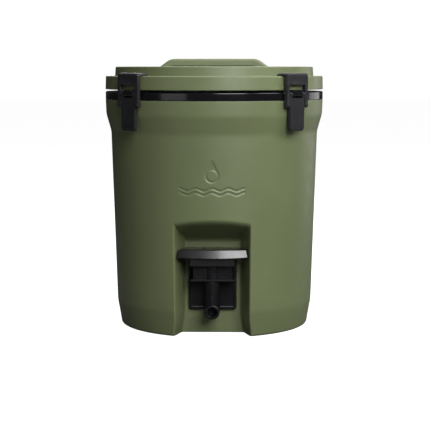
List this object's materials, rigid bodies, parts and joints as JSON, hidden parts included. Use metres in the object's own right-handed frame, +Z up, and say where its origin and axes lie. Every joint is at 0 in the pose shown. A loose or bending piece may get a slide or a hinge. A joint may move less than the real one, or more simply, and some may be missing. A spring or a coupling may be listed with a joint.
{
  "type": "large water jug",
  "caption": "Insulated round water jug with a push-lever tap in a front recess, a lid held by draw latches and a folding carry handle.",
  "frame": {"origin": "middle of the base, on the ground", "axes": "+Z up the jug's axis, -Y the front with the tap, +X to the right seen from the front"},
  "size_m": [0.3038, 0.3038, 0.371],
  "materials": {
    "shell_green": "satin",
    "lid_green": "satin",
    "rim_black": "gloss",
    "paddle_black": "gloss",
    "latch_black": "matte",
    "tap_black": "satin",
    "tank_liner": "satin",
    "foam": "matte",
    "pin_steel": "satin",
    "seal_silicone": "matte"
  },
  "bodies": {
    "jug": {"outer_shell": "shell_green", "foam_core": "foam", "inner_liner": "tank_liner", "foam_plug": "tap_black", "rim_ring": "rim_black", "lever_pin_front_right": "pin_steel", "lever_pin_rear_right": "pin_steel", "lever_pin_rear_left": "pin_steel", "lever_pin_front_left": "pin_steel", "tap_faceplate": "tap_black", "tap_outer_washer": "seal_silicone", "tap_inner_washer": "seal_silicone", "tap_nut": "tap_black", "tap_shank": "tap_black", "tap_housing": "tap_black", "stem_seal": "seal_silicone", "paddle_pin": "pin_steel", "spout": "tap_black", "return_spring": "pin_steel"},
    "lid": {"lid_cover": "lid_green", "lid_foam": "foam", "lid_liner": "tank_liner", "lid_gasket": "seal_silicone", "handle_pin_left": "latch_black", "handle_pin_right": "latch_black"},
    "handle": {"handle": "lid_green"},
    "paddle": {"paddle_lever": "paddle_black"},
    "plunger": {"valve_plunger": "tap_black", "valve_seal": "seal_silicone"},
    "lever_front_right": {"latch_lever_front_right": "latch_black", "hook_pin_front_right": "pin_steel"},
    "hook_front_right": {"latch_hook_front_right": "latch_black"},
    "lever_rear_right": {"latch_lever_rear_right": "latch_black", "hook_pin_rear_right": "pin_steel"},
    "hook_rear_right": {"latch_hook_rear_right": "latch_black"},
    "lever_rear_left": {"latch_lever_rear_left": "latch_black", "hook_pin_rear_left": "pin_steel"},
    "hook_rear_left": {"latch_hook_rear_left": "latch_black"},
    "lever_front_left": {"latch_lever_front_left": "latch_black", "hook_pin_front_left": "pin_steel"},
    "hook_front_left": {"latch_hook_front_left": "latch_black"}
  },
  "joints": [
    {"name": "lid_lift", "type": "slide", "parent": "jug", "child": "lid", "axis": [0, 0, 1], "range_m": [0, 0.017]},
    {"name": "handle_fold", "type": "hinge", "parent": "lid", "child": "handle", "pos_m": [0, 0, 0.344], "axis": [-1, 0, 0], "range_deg": [0, 90]},
    {"name": "paddle_press", "type": "hinge", "parent": "jug", "child": "paddle", "pos_m": [0, -0.0995, 0.101], "axis": [1, 0, 0], "range_deg": [0, 16], "stiffness_Nm_per_rad": 0.8, "springref_deg": -5.73},
    {"name": "plunger_travel", "type": "slide", "parent": "jug", "child": "plunger", "axis": [0, 0, -1], "range_m": [0, 0.0045], "deforming": ["return_spring"]},
    {"name": "lever_swing_front_right", "type": "hinge", "parent": "jug", "child": "lever_front_right", "pos_m": [0.11052, -0.11052, 0.3235], "axis": [-0.7071, -0.7071, 0], "range_deg": [0, 68]},
    {"name": "hook_swing_front_right", "type": "hinge", "parent": "lever_front_right", "child": "hook_front_right", "pos_m": [0.11052, -0.11052, 0.309], "axis": [-0.7071, -0.7071, 0], "range_deg": [-142, 0]},
    {"name": "lever_swing_rear_right", "type": "hinge", "parent": "jug", "child": "lever_rear_right", "pos_m": [0.11052, 0.11052, 0.3235], "axis": [0.7071, -0.7071, 0], "range_deg": [0, 68]},
    {"name": "hook_swing_rear_right", "type": "hinge", "parent": "lever_rear_right", "child": "hook_rear_right", "pos_m": [0.11052, 0.11052, 0.309], "axis": [0.7071, -0.7071, 0], "range_deg": [-142, 0]},
    {"name": "lever_swing_rear_left", "type": "hinge", "parent": "jug", "child": "lever_rear_left", "pos_m": [-0.11052, 0.11052, 0.3235], "axis": [0.7071, 0.7071, 0], "range_deg": [0, 68]},
    {"name": "hook_swing_rear_left", "type": "hinge", "parent": "lever_rear_left", "child": "hook_rear_left", "pos_m": [-0.11052, 0.11052, 0.309], "axis": [0.7071, 0.7071, 0], "range_deg": [-142, 0]},
    {"name": "lever_swing_front_left", "type": "hinge", "parent": "jug", "child": "lever_front_left", "pos_m": [-0.11052, -0.11052, 0.3235], "axis": [-0.7071, 0.7071, 0], "range_deg": [0, 68]},
    {"name": "hook_swing_front_left", "type": "hinge", "parent": "lever_front_left", "child": "hook_front_left", "pos_m": [-0.11052, -0.11052, 0.309], "axis": [-0.7071, 0.7071, 0], "range_deg": [-142, 0]}
  ],
  "couplings": [
    {"joint": "plunger_travel", "follows": "paddle_press", "m_per_rad": 0.0155},
    {"joint": "lever_swing_front_right", "follows": "lid_lift", "rad_per_m": 69.793},
    {"joint": "hook_swing_front_right", "follows": "lid_lift", "rad_per_m": -145.75},
    {"joint": "lever_swing_rear_right", "follows": "lid_lift", "rad_per_m": 69.793},
    {"joint": "hook_swing_rear_right", "follows": "lid_lift", "rad_per_m": -145.75},
    {"joint": "lever_swing_rear_left", "follows": "lid_lift", "rad_per_m": 69.793},
    {"joint": "hook_swing_rear_left", "follows": "lid_lift", "rad_per_m": -145.75},
    {"joint": "lever_swing_front_left", "follows": "lid_lift", "rad_per_m": 69.793},
    {"joint": "hook_swing_front_left", "follows": "lid_lift", "rad_per_m": -145.75}
  ]
}
